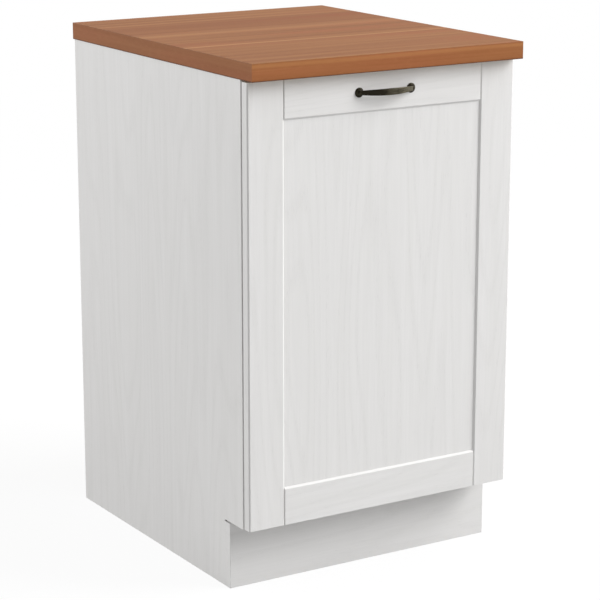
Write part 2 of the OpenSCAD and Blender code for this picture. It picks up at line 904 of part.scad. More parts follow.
// Outline of a front rail seen from above: coped ends, tongues and V grooves
module rail_plan() {
    groove_y = front_y + bevel;
    v_x = opening_x - v_groove;
    tongue_x = groove_x - groove_play;
    right = [
        [v_x - v_groove, front_y], [v_x, front_y + v_groove], [stile_inner_x, groove_y],
        [tongue_x, groove_y], [tongue_x, groove_y + panel_t],
        [stile_inner_x, groove_y + panel_t], [stile_inner_x, front_back_y]
    ];
    n = len(right);
    polygon(concat(right, [for (k = [1:n]) [-right[n - k][0], right[n - k][1]]]));
}

// Section of a front rail from its outer edge at 0 towards the panel
module rail_section() {
    polygon([
        [0, front_y], [rail_w, front_y], [rail_full, front_y + bevel],
        [rail_full - tongue, front_y + bevel], [rail_full - tongue, front_y + bevel + panel_t],
        [rail_full, front_y + bevel + panel_t], [rail_full, front_back_y], [0, front_back_y]
    ]);
}

// Front rail lying along X, from its outer edge at z = 0 upwards
module frame_rail() {
    intersection() {
        linear_extrude(rail_full) rail_plan();
        translate([front_w / 2, 0, 0]) rotate([0, -90, 0]) linear_extrude(front_w) rail_section();
    }
}

module front_top_rail() {
    color(white) difference() {
        translate([0, 0, front_top_z]) mirror([0, 0, 1]) frame_rail();
        both_sides()
            bar_y(handle_screw_d + 2 * pin_play, front_y - past, front_back_y + past,
                  handle_pitch / 2, handle_z);
    }
}

module front_bottom_rail() {
    color(white) translate([0, 0, front_z]) frame_rail();
}

// Centre panel, held in the grooves of the frame
module front_panel() {
    half = groove_x - groove_play;
    reach = rail_full - tongue + groove_play;
    color(white)
        block([-half, front_y + bevel, front_z + reach],
              [half, front_y + bevel + panel_t, front_top_z - reach]);
}

// Soft pads on the back of the front, which meet the edges of the sides
module bumpers() {
    color(clear_rubber) both_sides() for (z = [front_z + bumper_inset, front_top_z - bumper_inset])
        bar_y(bumper_d, front_back_y, front_back_y + bumper_t, bumper_x, z);
}

// Radius of an arc from its chord and its height
function arc_radius(chord, height) = (chord * chord / 4 + height * height) / (2 * height);

// Wide disc whose rim shapes the upper or the lower edge of the handle's strap
module swell_disc(r, z) {
    bar_y(2 * r, front_y - handle_reach - past, front_y, 0, z, $fn = swell_fn);
}

// Bow of the handle: a strap bent to an arc, taller in the middle, with a foot at each end
module handle_bow() {
    outer_y = front_y - handle_reach;
    bow_r = arc_radius(handle_pitch, handle_reach - foot_reach);
    swell_r = arc_radius(handle_pitch, (strap_h - strap_end_h) / 2);
    foot_x = handle_pitch / 2;
    color(bronze) difference() {
        union() {
            intersection() {
                translate([0, outer_y + bow_r, handle_z - strap_h])
                    difference() {
                        cylinder(r = bow_r, h = 2 * strap_h, $fn = bow_fn);
                        translate([0, 0, -past])
                            cylinder(r = bow_r - strap_t, h = 2 * strap_h + 2 * past, $fn = bow_fn);
                    }
                swell_disc(swell_r, handle_z + strap_h / 2 - swell_r);
                swell_disc(swell_r, handle_z - strap_h / 2 + swell_r);
                block([-foot_x, outer_y - past, handle_z - strap_h],
                      [foot_x, front_y - rosette_t, handle_z + strap_h]);
            }
            both_sides() bar_y(foot_d, front_y - foot_reach, front_y - rosette_t,
                               foot_x, handle_z);
        }
        both_sides()
            bar_y(handle_screw_d + 2 * pin_play, front_y - foot_reach + foot_cap,
                  front_y - rosette_t + past, foot_x, handle_z);
    }
}

// Round plates under the handle's feet, dished at the rim
module handle_rosettes() {
    r = rosette_d / 2;
    hole_r = handle_screw_d / 2 + pin_play;
    color(bronze) both_sides()
        translate([handle_pitch / 2, front_y, handle_z]) rotate([90, 0, 0]) rotate_extrude()
            polygon([
                [hole_r, 0], [r, 0], [r, rosette_rim], [r - rosette_rim, 2 * rosette_rim],
                [foot_d / 2 + rosette_rim, rosette_t], [hole_r, rosette_t]
            ]);
}

module handle_screws() {
    color(zinc) both_sides()
        union() {
            bar_y(handle_screw_d, front_y - foot_reach + foot_cap + end_play, front_back_y,
                  handle_pitch / 2, handle_z);
            bar_y(handle_screw_head_d, front_back_y, front_back_y + handle_screw_head_h,
                  handle_pitch / 2, handle_z);
        }
}

side_panel_left();
side_panel_right();
bottom_panel();
back_panel();
front_rail();
rear_rail();
wall_rail();
plinth_board();
plinth_brackets();
plinth_screws();
carcass_dowels();
cam_locks();
cam_bolts();
back_nails();
worktop_core();
worktop_laminate();
worktop_edging_front();
worktop_edging_left();
worktop_edging_right();
worktop_screws();
cabinet_runner_lower_left();
cabinet_runner_lower_right();
cabinet_runner_upper_left();
cabinet_runner_upper_right();
cabinet_runner_screws();
middle_runner_lower_left();
middle_runner_lower_right();
middle_runner_upper_left();
middle_runner_upper_right();
outer_ball_cages();
outer_balls();
inner_ball_cages();
inner_balls();
drawer_runner_lower_left();
drawer_runner_lower_right();
drawer_runner_upper_left();
drawer_runner_upper_right();
drawer_runner_screws();
lower_box_side_left();
lower_box_side_right();
lower_box_front();
lower_box_back();
lower_box_bottom();
upper_box_side_left();
upper_box_side_right();
upper_box_front();
upper_box_back();
upper_box_bottom();
box_dowels();
front_screws();
front_stile_left();
front_stile_right();
front_top_rail();
front_bottom_rail();
front_panel();
bumpers();
handle_bow();
handle_rosettes();
handle_screws();
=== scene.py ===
"""Kitchen base cabinet with a tall pull-out front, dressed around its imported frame.

The front, its handle and two drawer boxes pull out together, along -Y, on ball-bearing runners.
X is to the right as seen from the front, Y is towards the wall, Z is up, all in metres.
"""
import math

import bmesh
import bpy
from mathutils import Matrix, Vector


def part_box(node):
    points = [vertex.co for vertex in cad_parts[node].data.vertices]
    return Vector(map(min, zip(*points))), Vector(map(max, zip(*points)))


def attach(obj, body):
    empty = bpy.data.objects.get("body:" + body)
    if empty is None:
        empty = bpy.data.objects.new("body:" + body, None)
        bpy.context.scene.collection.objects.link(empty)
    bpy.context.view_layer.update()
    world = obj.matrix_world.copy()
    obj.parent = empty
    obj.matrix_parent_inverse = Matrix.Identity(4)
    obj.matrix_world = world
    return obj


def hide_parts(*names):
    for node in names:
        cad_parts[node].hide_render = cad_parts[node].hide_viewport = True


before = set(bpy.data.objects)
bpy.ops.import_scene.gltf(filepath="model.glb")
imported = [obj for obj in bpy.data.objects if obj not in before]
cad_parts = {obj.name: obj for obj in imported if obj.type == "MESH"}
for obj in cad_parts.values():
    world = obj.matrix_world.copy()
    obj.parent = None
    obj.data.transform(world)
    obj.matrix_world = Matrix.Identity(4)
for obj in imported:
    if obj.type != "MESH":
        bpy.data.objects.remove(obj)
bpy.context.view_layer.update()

# Side panels
# Two upright chipboard boards faced with white ash-look melamine and notched at the toe space.
# A strip of edging is glued on each front edge, and a groove near the back holds the back panel.
mm = 0.001
side_arris = 0.4 * mm
band_t = 0.8 * mm
groove_play = 0.5 * mm
# Corners of a rounded piece that lie closer together than this become one
weld_gap = 0.002 * mm


def linear(colour):
    """Linear RGBA of an sRGB colour written as rrggbb."""
    channels = [int(colour[k:k + 2], 16) / 255 for k in (0, 2, 4)]
    return [c / 12.92 if c <= 0.04045 else ((c + 0.055) / 1.055) ** 2.4 for c in channels] + [1.0]


def add_node(tree, kind, inputs=None, **settings):
    """Adds a node with its settings. Each input is given as its value or as the socket that feeds it."""
    node = tree.nodes.new(kind)
    for key, value in settings.items():
        setattr(node, key, value)
    for key, value in (inputs or {}).items():
        if isinstance(value, bpy.types.NodeSocket):
            tree.links.new(value, node.inputs[key])
        else:
            node.inputs[key].default_value = value
    return node


def new_material(name):
    """An empty material, and its node tree."""
    material = bpy.data.materials.new(name)
    material.use_nodes = True
    material.node_tree.nodes.clear()
    return material, material.node_tree


def finish_material(tree, inputs):
    """Ends a material with a principled surface that has these inputs."""
    surface = add_node(tree, "ShaderNodeBsdfPrincipled", inputs)
    add_node(tree, "ShaderNodeOutputMaterial", {"Surface": surface.outputs["BSDF"]})


def object_place(tree):
    """The place on the piece, in metres."""
    return add_node(tree, "ShaderNodeTexCoord").outputs["Object"]


def calculate(tree, operation, *values):
    """The result of a maths node. Each value is a number or a socket."""
    maths = add_node(tree, "ShaderNodeMath", dict(enumerate(values)), operation=operation)
    return maths.outputs["Value"]


def ranged(tree, value, start, full, at_start=0.0, at_full=1.0):
    """A value brought from the range between start and full to another range, and kept within it."""
    inputs = {"Value": value, "From Min": start, "From Max": full, "To Min": at_start, "To Max": at_full}
    return add_node(tree, "ShaderNodeMapRange", inputs).outputs["Result"]


def bumped(tree, height, strength, depth):
    """Normals tilted as if the surface rose and fell by a pattern, through a depth."""
    bump = add_node(tree, "ShaderNodeBump", {"Height": height, "Strength": strength, "Distance": depth})
    return bump.outputs["Normal"]


GRAIN_TURN = {"X": (0, -math.pi / 2, 0), "Y": (math.pi / 2, 0, 0), "Z": (0, 0, 0)}


def board_coordinates(tree, grain, shift):
    """Object coordinates turned so that the grain runs along Z, and shifted to another part of the
    sheet."""
    turned = add_node(
        tree, "ShaderNodeMapping",
        {"Vector": object_place(tree), "Rotation": GRAIN_TURN[grain], "Location": shift}
    )
    return turned.outputs["Vector"]


def streaks(tree, coordinates, across, along, detail):
    """Noise drawn out along Z into streaks that are about across wide and along long."""
    scale = (1 / across, 1 / across, 1 / along)
    stretched = add_node(tree, "ShaderNodeMapping", {"Vector": coordinates, "Scale": scale})
    drawn_out = add_node(
        tree, "ShaderNodeTexNoise",
        {"Vector": stretched.outputs["Vector"], "Scale": 1.0, "Detail": detail, "Roughness": 0.55}
    )
    return drawn_out.outputs["Fac"]


def growth_lines(tree, coordinates, across, along, lines):
    """Contour lines of a broad, drawn-out noise, from -1 to 1: the arches and stripes of a flat-sawn
    board."""
    figure = streaks(tree, coordinates, across, along, 1.0)
    return calculate(tree, "SINE", calculate(tree, "MULTIPLY", figure, 2 * math.pi * lines))


def laid_colours(tree, ground, layers):
    """A ground colour with others laid over it in turn. A layer is its colour, its pattern, the values
    of the pattern at which it starts and is full, and how much it then covers."""
    tone = linear(ground)
    for colour, pattern, start, full, cover in layers:
        share = ranged(tree, pattern, start, full, at_full=cover)
        laid = add_node(
            tree, "ShaderNodeMixRGB", {"Fac": share, "Color1": tone, "Color2": linear(colour)}
        )
        tone = laid.outputs["Color"]
    return tone


def white_ash(name, grain, shift):
    """White ash-look melamine: a printed paper pressed on chipboard between textured plates.
    It gives a satin white with faint long streaks, some pale arches and short grey pores."""
    material, tree = new_material(name)
    sheet = board_coordinates(tree, grain, shift)
    fibres = streaks(tree, sheet, 4 * mm, 130 * mm, 3.0)
    rings = growth_lines(tree, sheet, 120 * mm, 1100 * mm, 15)
    # Real pores are 0.2 mm wide. They are drawn 1 mm wide here, so that they show. Most lie along the
    # rings
    pores = calculate(tree, "MULTIPLY_ADD", rings, 0.07, streaks(tree, sheet, 1 * mm, 14 * mm, 2.0))
    tone = laid_colours(tree, "e2e1e0", (
        ("dbdad9", fibres, 0.65, 0.35, 0.5),
        ("dad9d7", streaks(tree, sheet, 16 * mm, 500 * mm, 2.0), 0.35, 0.65, 0.35),
        ("d2d1cf", rings, 0.2, 1, 0.15),
        ("bdbcba", pores, 0.64, 0.78, 0.25),
    ))
    relief = calculate(tree, "SUBTRACT", fibres, pores)
    finish_material(tree, {
        "Base Color": tone, "Roughness": 0.46, "IOR": 1.5, "Specular IOR Level": 0.35,
        "Normal": bumped(tree, relief, 0.2, 0.05 * mm)
    })
    return material


def block(name, low, high):
    """A cube brought to its size and place between two corners, with its origin at the frame's."""
    low, high = Vector(low), Vector(high)
    bpy.ops.object.select_all(action="DESELECT")
    bpy.ops.mesh.primitive_cube_add(size=1, location=(low + high) / 2)
    piece = bpy.context.active_object
    piece.name = piece.data.name = name
    piece.scale = high - low
    bpy.ops.object.transform_apply(location=True, rotation=True, scale=True)
    return piece


def pick_faces(test):
    """In edit mode, selects the faces for which test(centre, normal) holds, and nothing else."""
    bpy.ops.mesh.select_mode(type="FACE")
    bpy.ops.mesh.select_all(action="DESELECT")
    shape = bpy.context.edit_object.data
    mesh = bmesh.from_edit_mesh(shape)
    for face in mesh.faces:
        face.select_set(test(face.calc_center_median(), face.normal))
    bmesh.update_edit_mesh(shape)


def saw_line(axis, place):
    """In edit mode, cuts a line round the whole piece, square to an axis, without parting it."""
    bpy.ops.mesh.select_all(action="SELECT")
    square = [float(k == axis) for k in range(3)]
    bpy.ops.mesh.bisect(plane_co=[place * s for s in square], plane_no=square)


def pull(vector):
    """In edit mode, extrudes the selected faces along a vector."""
    bpy.ops.mesh.extrude_region_move(TRANSFORM_OT_translate={"value": vector})


def make_active(piece):
    """Selects a piece alone, as the active one."""
    bpy.ops.object.select_all(action="DESELECT")
    piece.select_set(True)
    bpy.context.view_layer.objects.active = piece


def apply_modifier(piece, kind, **settings):
    """Adds a modifier with its settings and applies it."""
    make_active(piece)
    modifier = piece.modifiers.new(kind.lower(), kind)
    for key, value in settings.items():
        setattr(modifier, key, value)
    bpy.ops.object.modifier_apply(modifier=modifier.name)


def cut_away(piece, low, high):
    """Mills the space between two corners out of a piece."""
    cutter = block("cutter", low, high)
    apply_modifier(piece, "BOOLEAN", object=cutter, operation="DIFFERENCE", solver="EXACT")
    bpy.data.objects.remove(cutter)


def smooth_rounds(piece, degrees=50):
    """Shades the rounds of a piece smoothly, and keeps its flat faces flat."""
    make_active(piece)
    bpy.ops.object.shade_smooth_by_angle(angle=math.radians(degrees), keep_sharp_edges=False)
    apply_modifier(piece, "WEIGHTED_NORMAL", weight=100, keep_sharp=True)


def ease(piece, width, segments=2):
    """Breaks the sharp edges of a piece with a small round, and joins the corners that it runs
    together."""
    apply_modifier(
        piece, "BEVEL", width=width, segments=segments,
        limit_method="ANGLE", angle_limit=math.radians(25)
    )
    apply_modifier(piece, "WELD", merge_threshold=weld_gap)
    smooth_rounds(piece)


def hand_over(piece, material, body, slot, *nodes):
    """Gives a finished piece its material and its body, and hides the CAD nodes that it stands for.
    The slot is not used.
    """
    piece.data.materials.clear()
    piece.data.materials.append(material)
    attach(piece, body)
    if nodes:
        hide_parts(*nodes)


toe_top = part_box("bottom_panel")[0].z
toe_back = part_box("plinth_board")[1].y
back_low, back_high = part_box("back_panel")

for side, sheet_shift in (("left", (0.31, 0.0, 0.0)), ("right", (0.9, 0.4, 0.7))):
    low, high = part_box("side_panel_" + side)
    melamine = white_ash("white_ash_side_" + side, "Z", sheet_shift)
    board_front = low.y + band_t

    panel = block("side_board_" + side, (low.x, toe_back, low.z), high)
    bpy.ops.object.mode_set(mode="EDIT")
    saw_line(2, toe_top)
    pick_faces(lambda centre, normal: normal.y < -0.5 and centre.z > toe_top)
    pull((0, board_front - toe_back, 0))
    bpy.ops.object.mode_set(mode="OBJECT")
    groove_reach = back_high.x + groove_play
    if side == "left":
        groove = (-groove_reach, high.x + mm)
    else:
        groove = (low.x - mm, groove_reach)
    cut_away(panel, (groove[0], back_low.y, -mm), (groove[1], back_high.y, high.z + mm))
    ease(panel, side_arris)
    hand_over(panel, melamine, "carcass", "white_board", "side_panel_" + side)

    strip = block("side_edging_" + side, (low.x, low.y, toe_top), (high.x, board_front, high.z))
    ease(strip, band_t / 4)
    hand_over(strip, melamine, "carcass", "white_board")

# Bottom, flat rails and wall rail
# Level boards of the same melamine, grain along their length, held between the sides by dowels and
# cam locks. The worktop is screwed down through the two flat rails. The wall rail is screwed to the
# wall.
inner_ash = white_ash("white_ash_inner", "X", (0.2, 0.6, 0.1))


def finish_node(name, material):
    """Gives a CAD node its material."""
    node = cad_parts[name]
    node.data.materials.clear()
    node.data.materials.append(material)


for name in ("bottom_panel", "front_rail", "rear_rail", "wall_rail"):
    finish_node(name, inner_ash)


# Back panel
# Hardboard, 3 mm thick, slid into the grooves of the sides and nailed. The inner face is lacquered
# white; the outer one is left brown, with the print of the wire mesh that it was pressed on.
def noise(tree, place, size, detail):
    """Cloudy noise whose patches are about size wide."""
    clouds = add_node(tree, "ShaderNodeTexNoise", {"Vector": place, "Scale": 1 / size, "Detail": detail})
    return clouds.outputs["Fac"]


def back_hardboard():
    """Wet-pressed hardboard: smooth white lacquer to the front, brown mesh-marked fibre to the wall."""
    material, tree = new_material("hardboard")
    place = object_place(tree)
    # The mesh of a real screen is 1.5 mm; 4 mm here, so that it shows. At scale 1 the waves come every
    # pi / 10
    screen = 4 * mm
    wires = []
    for turn in (0, math.pi / 2):
        turned = add_node(tree, "ShaderNodeMapping", {"Vector": place, "Rotation": (0, turn, 0)})
        wave = add_node(
            tree, "ShaderNodeTexWave",
            {"Vector": turned.outputs["Vector"], "Scale": math.pi / 10 / screen, "Distortion": 0.4},
            bands_direction="X"
        )
        wires.append(wave.outputs["Fac"])
    dents = calculate(tree, "MULTIPLY", *wires)
    fibre = laid_colours(tree, "6e4c33", (
        ("8a6546", noise(tree, place, 30 * mm, 6.0), 0.3, 0.7, 1.0),
        ("9a7551", dents, 0, 1, 1.0),
    ))
    normal = add_node(tree, "ShaderNodeNewGeometry").outputs["Normal"]
    facing = add_node(tree, "ShaderNodeSeparateXYZ", {"Vector": normal}).outputs["Y"]
    outside = ranged(tree, facing, 0.4, 0.6)
    colour = add_node(
        tree, "ShaderNodeMixRGB", {"Fac": outside, "Color1": linear("e2e1dd"), "Color2": fibre}
    )
    height = calculate(tree, "MULTIPLY", dents, outside)
    finish_material(tree, {
        "Base Color": colour.outputs["Color"], "Roughness": 0.6, "IOR": 1.5, "Specular IOR Level": 0.3,
        "Normal": bumped(tree, height, 0.5, 0.3 * mm)
    })
    return material


finish_node("back_panel", back_hardboard())

# Plinth
# One board of the same melamine across the toe space, in front of the notched sides, grain along its
# length. Two moulded angles hold it from behind, each with a screw into the side and one into the
# plinth.
plinth_round = 0.5 * mm
plinth_arris = 0.2 * mm


def near(a, b):
    """Whether two places lie within a hundredth of a millimetre."""
    return abs(a - b) < 0.01 * mm


def pick_edges(test):
    """In edit mode, selects the edges for which test holds at both ends, and nothing else."""
    bpy.ops.mesh.select_mode(type="EDGE")
    bpy.ops.mesh.select_all(action="DESELECT")
    shape = bpy.context.edit_object.data
    mesh = bmesh.from_edit_mesh(shape)
    for edge in mesh.edges:
        edge.select_set(all(test(v.co) for v in edge.verts))
    bmesh.update_edit_mesh(shape)


def round_edges(test, width, segments):
    """Rounds the edges of the active piece for which test holds at both ends."""
    bpy.ops.object.mode_set(mode="EDIT")
    pick_edges(test)
    bpy.ops.mesh.bevel(offset=width, segments=segments)
    bpy.ops.object.mode_set(mode="OBJECT")


plinth_low, plinth_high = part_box("plinth_board")
plinth = block("plinth", plinth_low, plinth_high)
round_edges(lambda end: near(end.y, plinth_low.y), plinth_round, segments=4)
ease(plinth, plinth_arris)
hand_over(
    plinth, white_ash("white_ash_plinth", "X", (0.7, 0.1, 0.35)),
    "carcass", "white_board", "plinth_board"
)


def moulded_white():
    """Injection-moulded polypropylene: an even white with the fine spark-eroded grain of its mould."""
    material, tree = new_material("moulded_polypropylene")
    grain = noise(tree, object_place(tree), 0.5 * mm, 3.0)
    finish_material(tree, {
        "Base Color": laid_colours(tree, "e2e2de", (("ebebe7", grain, 0, 1, 1.0),)),
        "Roughness": 0.5, "IOR": 1.49, "Normal": bumped(tree, grain, 0.3, 0.05 * mm)
    })
    return material


finish_node("plinth_brackets", moulded_white())


# Dowels, cam locks, cam bolts and nails
# Beech dowels place the level boards on the sides, and zinc cams draw in the bolts that are screwed
# into the sides. Wire nails hold the back panel.
def beech_wood():
    """Turned beech: pale pinkish brown with the short dark flecks of its rays, along the dowel."""
    material, tree = new_material("beech")
    rod = board_coordinates(tree, "X", (0, 0, 0))
    tone = laid_colours(tree, "c7a479", (
        ("dabb90", streaks(tree, rod, 1.5 * mm, 30 * mm, 2.0), 0, 1, 1.0),
        ("a98258", streaks(tree, rod, 0.6 * mm, 4 * mm, 2.0), 0.58, 0.7, 1.0),
    ))
    finish_material(tree, {"Base Color": tone, "Roughness": 0.62})
    return material


def plated_steel(name, light, dark, roughness, line):
    """Zinc-plated steel: a grey metal with the fine drawing lines of the strip or rod along its length,
    and faint cloudy patches of the plating."""
    material, tree = new_material(name)
    length = board_coordinates(tree, "Y", (0, 0, 0))
    drawn = streaks(tree, length, line, 60 * line, 3.0)
    clouds = streaks(tree, length, 14 * mm, 30 * mm, 3.0)
    tone = laid_colours(tree, dark, ((light, drawn, 0, 1, 1.0), (light, clouds, 0.45, 0.8, 1.0)))
    finish_material(tree, {
        "Base Color": tone, "Metallic": 1.0,
        "Roughness": ranged(tree, clouds, 0, 1, roughness - 0.07, roughness + 0.07),
        "Normal": bumped(tree, drawn, 0.05, 0.02 * mm)
    })
    return material


beech = beech_wood()
fixing_zinc = plated_steel("zinc_plated_fixings", "b9bcbe", "94989b", 0.38, 0.4 * mm)
finish_node("carcass_dowels", beech)
for name in ("cam_locks", "cam_bolts", "back_nails"):
    finish_node(name, fixing_zinc)


# Countersunk and pan-head screws
# Cold-headed steel screws, zinc plated, with a cross recess. Each is turned up once from a disc and
# copied to every place that the frame gives.
screw_sides = 24
# Shares of the head's height: its straight rim, the two steps of its crown and the recess's floor
rim_share = 0.45
lower_crown_share = 0.35
upper_crown_share = 0.2
recess_floor_share = 0.35
# Shares of its diameter: the steps' widths, the recess's reach and blade, and the broken edges
lower_step_share = 0.08
upper_step_share = 0.12
recess_share = 0.56
blade_share = 0.16
head_arris_share = 0.01
# The tip's diameter as a share of the shank's
tip_share = 0.2


def solids_in(node):
    """The lowest and highest corner of each separate solid in a CAD node, from left to right."""
    mesh = bmesh.new()
    mesh.from_mesh(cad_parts[node].data)
    bmesh.ops.remove_doubles(mesh, verts=mesh.verts, dist=0.001 * mm)
    boxes, seen = [], set()
    for start in mesh.verts:
        if start in seen:
            continue
        seen.add(start)
        group, front = [start], [start]
        while front:
            joined = {e.other_vert(v) for v in front for e in v.link_edges} - seen
            seen |= joined
            front = list(joined)
            group += front
        corners = list(zip(*(v.co for v in group)))
        boxes.append((Vector(map(min, corners)), Vector(map(max, corners))))
    mesh.free()
    return sorted(boxes, key=lambda box: tuple(box[0]))


def face_outwards():
    """In edit mode, turns all faces outwards, and goes back to object mode."""
    bpy.ops.mesh.select_all(action="SELECT")
    bpy.ops.mesh.normals_make_consistent(inside=False)
    bpy.ops.object.mode_set(mode="OBJECT")


def turned_screw(head_d, head_h, shank_l):
    """One screw with its head's underside at the origin and its drive towards +Z."""
    shank_d = head_d / 2
    bpy.ops.object.select_all(action="DESELECT")
    bpy.ops.mesh.primitive_circle_add(vertices=screw_sides, radius=head_d / 2, fill_type="NGON")
    screw = bpy.context.active_object
    bpy.ops.object.mode_set(mode="EDIT")
    bpy.ops.mesh.select_all(action="SELECT")
    pull((0, 0, head_h * rim_share))
    pick_faces(lambda centre, normal: near(centre.z, head_h * rim_share))
    bpy.ops.mesh.inset(thickness=head_d * lower_step_share, depth=head_h * lower_crown_share)
    bpy.ops.mesh.inset(thickness=head_d * upper_step_share, depth=head_h * upper_crown_share)
    pick_faces(lambda centre, normal: near(centre.z, 0))
    bpy.ops.mesh.inset(thickness=(head_d - shank_d) / 2)
    pull((0, 0, shank_d - shank_l))
    pull((0, 0, -shank_d))
    bpy.ops.transform.resize(value=(tip_share, tip_share, 1), center_override=(0, 0, -shank_l))
    face_outwards()
    reach, blade = head_d * recess_share / 2, head_d * blade_share / 2
    floor_z = head_h * recess_floor_share
    cut_away(screw, (-reach, -blade, floor_z), (reach, blade, head_h * 2))
    cut_away(screw, (-blade, -reach, floor_z), (blade, reach, head_h * 2))
    ease(screw, head_d * head_arris_share, segments=1)
    return screw


def screws(name, node, drive, body, head_h):
    """Screws in the place of a node's solids, with their heads towards drive(place, size), as one
    piece."""
    boxes = solids_in(node)
    spread = sorted(boxes[0][1] - boxes[0][0])
    pattern = turned_screw(spread[0], head_h, spread[2] - head_h)
    bpy.ops.object.select_all(action="DESELECT")
    for low, high in boxes:
        out = Vector(drive((low + high) / 2, high - low))
        head_under = (low + high) / 2 + out * (spread[2] / 2 - head_h)
        turned = out.to_track_quat("Z", "Y").to_matrix().to_4x4()
        screw = pattern.copy()
        screw.data = pattern.data.copy()
        screw.data.transform(Matrix.Translation(head_under) @ turned)
        bpy.context.collection.objects.link(screw)
        screw.select_set(True)
        bpy.context.view_layer.objects.active = screw
    bpy.data.objects.remove(pattern)
    bpy.ops.object.join()
    piece = bpy.context.active_object
    piece.name = piece.data.name = name
    hand_over(piece, fixing_zinc, body, "fixing_zinc", node)


def towards_middle(place, size):
    """Towards the cabinet's middle, left or right."""
    return (-math.copysign(1, place.x), 0, 0)


def plinth_drive(place, size):
    """The drive of a plinth bracket's screw: sideways into the side panel, or forwards into the
    plinth."""
    return towards_middle(place, size) if size.x > size.y else (0, 1, 0)


screws("plinth_bracket_screws", "plinth_screws", plinth_drive, "carcass", head_h=2 * mm)


# Worktop
# A 27 mm chipboard core with a cherry-look laminate pressed on top. Printed edging is ironed on the
# front and both ends, and its lower arris is rounded over. Four screws hold it from below.
def cherry_print(name, grain, shift, light, dark, red, stripes):
    """Cherry-look decor paper under melamine resin: long straight streaks of close browns, a few pale
    and a few reddish ones, and fine pressed pores. The resin gives a satin sheen.
    A stripe is its colour, the axis across it, its place there, its width, how far it wanders and how
    much it covers. Stripes on the top are print. On the front edging, a light one near the top is a
    painted highlight, and on every edging a dark one at the foot is painted shade."""
    material, tree = new_material(name)
    sheet = board_coordinates(tree, grain, shift)
    fibres = streaks(tree, sheet, 2.2 * mm, 260 * mm, 4.0)
    # Real pores are 0.2 mm wide. They are drawn 0.9 mm wide here, so that they show
    pores = streaks(tree, sheet, 0.9 * mm, 18 * mm, 2.0)
    layers = [
        (light, streaks(tree, sheet, 22 * mm, 900 * mm, 2.0), 0.34, 0.66, 1.0),
        (red, streaks(tree, sheet, 45 * mm, 380 * mm, 1.0), 0.5, 0.72, 0.8),
        (dark, fibres, 0.62, 0.38, 0.45),
        (dark, growth_lines(tree, sheet, 90 * mm, 1200 * mm, 10), -1, 1, 0.25),
        (light, streaks(tree, sheet, 5 * mm, 14 * mm, 2.0), 0.5, 0.75, 0.3),
    ]
    axes = add_node(tree, "ShaderNodeSeparateXYZ", {"Vector": object_place(tree)}).outputs
    drift = streaks(tree, sheet, 150 * mm, 400 * mm, 1.0)
    for colour, axis, middle, width, wander, cover in stripes:
        # The drift is about a half on average
        across = calculate(tree, "MULTIPLY_ADD", drift, 2 * wander, axes[axis])
        distance = calculate(tree, "ABSOLUTE", calculate(tree, "SUBTRACT", across, middle + wander))
        layers.append((colour, distance, width / 2, width / 6, cover))
    layers.append(("5f3a22", pores, 0.64, 0.8, 0.3))
    relief = calculate(tree, "SUBTRACT", fibres, pores)
    finish_material(tree, {
        "Base Color": laid_colours(tree, dark, layers), "Roughness": 0.6, "IOR": 1.5,
        "Specular IOR Level": 0.1, "Normal": bumped(tree, relief, 0.2, 0.08 * mm)
    })
    return material


def kraft_core():
    """The laminate's core of phenolic kraft paper: a dark red-brown line, finely layered, round the
    top."""
    material, tree = new_material("kraft_core")
    layered = add_node(tree, "ShaderNodeMapping", {"Vector": object_place(tree), "Scale": (1, 1, 20)})
    plies = noise(tree, layered.outputs["Vector"], 3 * mm, 3.0)
    tone = laid_colours(tree, "6b4630", (("845a40", plies, 0.3, 0.7, 1.0),))
    finish_material(tree, {"Base Color": tone, "Roughness": 0.6})
    return material


def chipboard_core():
    """Chipboard: glued flakes of many browns with fine dust between them, cut open at the edges."""
    material, tree = new_material("chipboard")
    place = object_place(tree)
    flat = add_node(tree, "ShaderNodeMapping", {"Vector": place, "Scale": (1, 1, 2.2)})
    flakes = add_node(
        tree, "ShaderNodeTexVoronoi",
        {"Vector": flat.outputs["Vector"], "Scale": 1 / (4 * mm), "Randomness": 1.0}
    )
    shade = add_node(tree, "ShaderNodeSeparateColor", {"Color": flakes.outputs["Color"]})
    dust = noise(tree, place, 1.2 * mm, 4.0)
    tone = laid_colours(tree, "9b7a50", (
        ("cfae80", shade.outputs["Red"], 0, 1, 1.0),
        ("7c5d3a", dust, 0.55, 0.75, 1.0),
    ))
    finish_material(tree, {
        "Base Color": tone, "Roughness": 0.85, "Normal": bumped(tree, dust, 0.5, 0.3 * mm)
    })
    return material


finish_node("worktop_core", chipboard_core())
screws(
    "worktop_fixing_screws", "worktop_screws", lambda place, size: (0, 0, -1), "carcass", head_h=2.4 * mm
)

laminate_round = 0.5 * mm
laminate_look = {
    "light": "a37148", "dark": "895836", "red": "9c5e3d",
    "stripes": (
        ("804a2c", "Y", 142 * mm, 150 * mm, 12 * mm, 0.4),
        ("b68459", "Y", -94 * mm, 15 * mm, 5 * mm, 0.65),
        ("b68459", "Y", 55 * mm, 55 * mm, 5 * mm, 0.25),
        ("b68459", "Y", 205 * mm, 16 * mm, 5 * mm, 0.2),
    )
}
low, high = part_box("worktop_laminate")
laminate = block("worktop_top", low, high)
round_edges(lambda end: near(end.z, high.z), laminate_round, segments=3)
smooth_rounds(laminate)
hand_over(
    laminate, cherry_print("cherry_laminate", "X", (0.1, 0.2, 0.3), **laminate_look),
    "carcass", "cherry_laminate", "worktop_laminate"
)
# Its upright edges show the core
laminate.data.materials.append(kraft_core())
for face in laminate.data.polygons:
    if abs(face.normal.z) < 0.1:
        face.material_index = 1

edging_round = 0.8 * mm
edging_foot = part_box("worktop_edging_front")[0].z
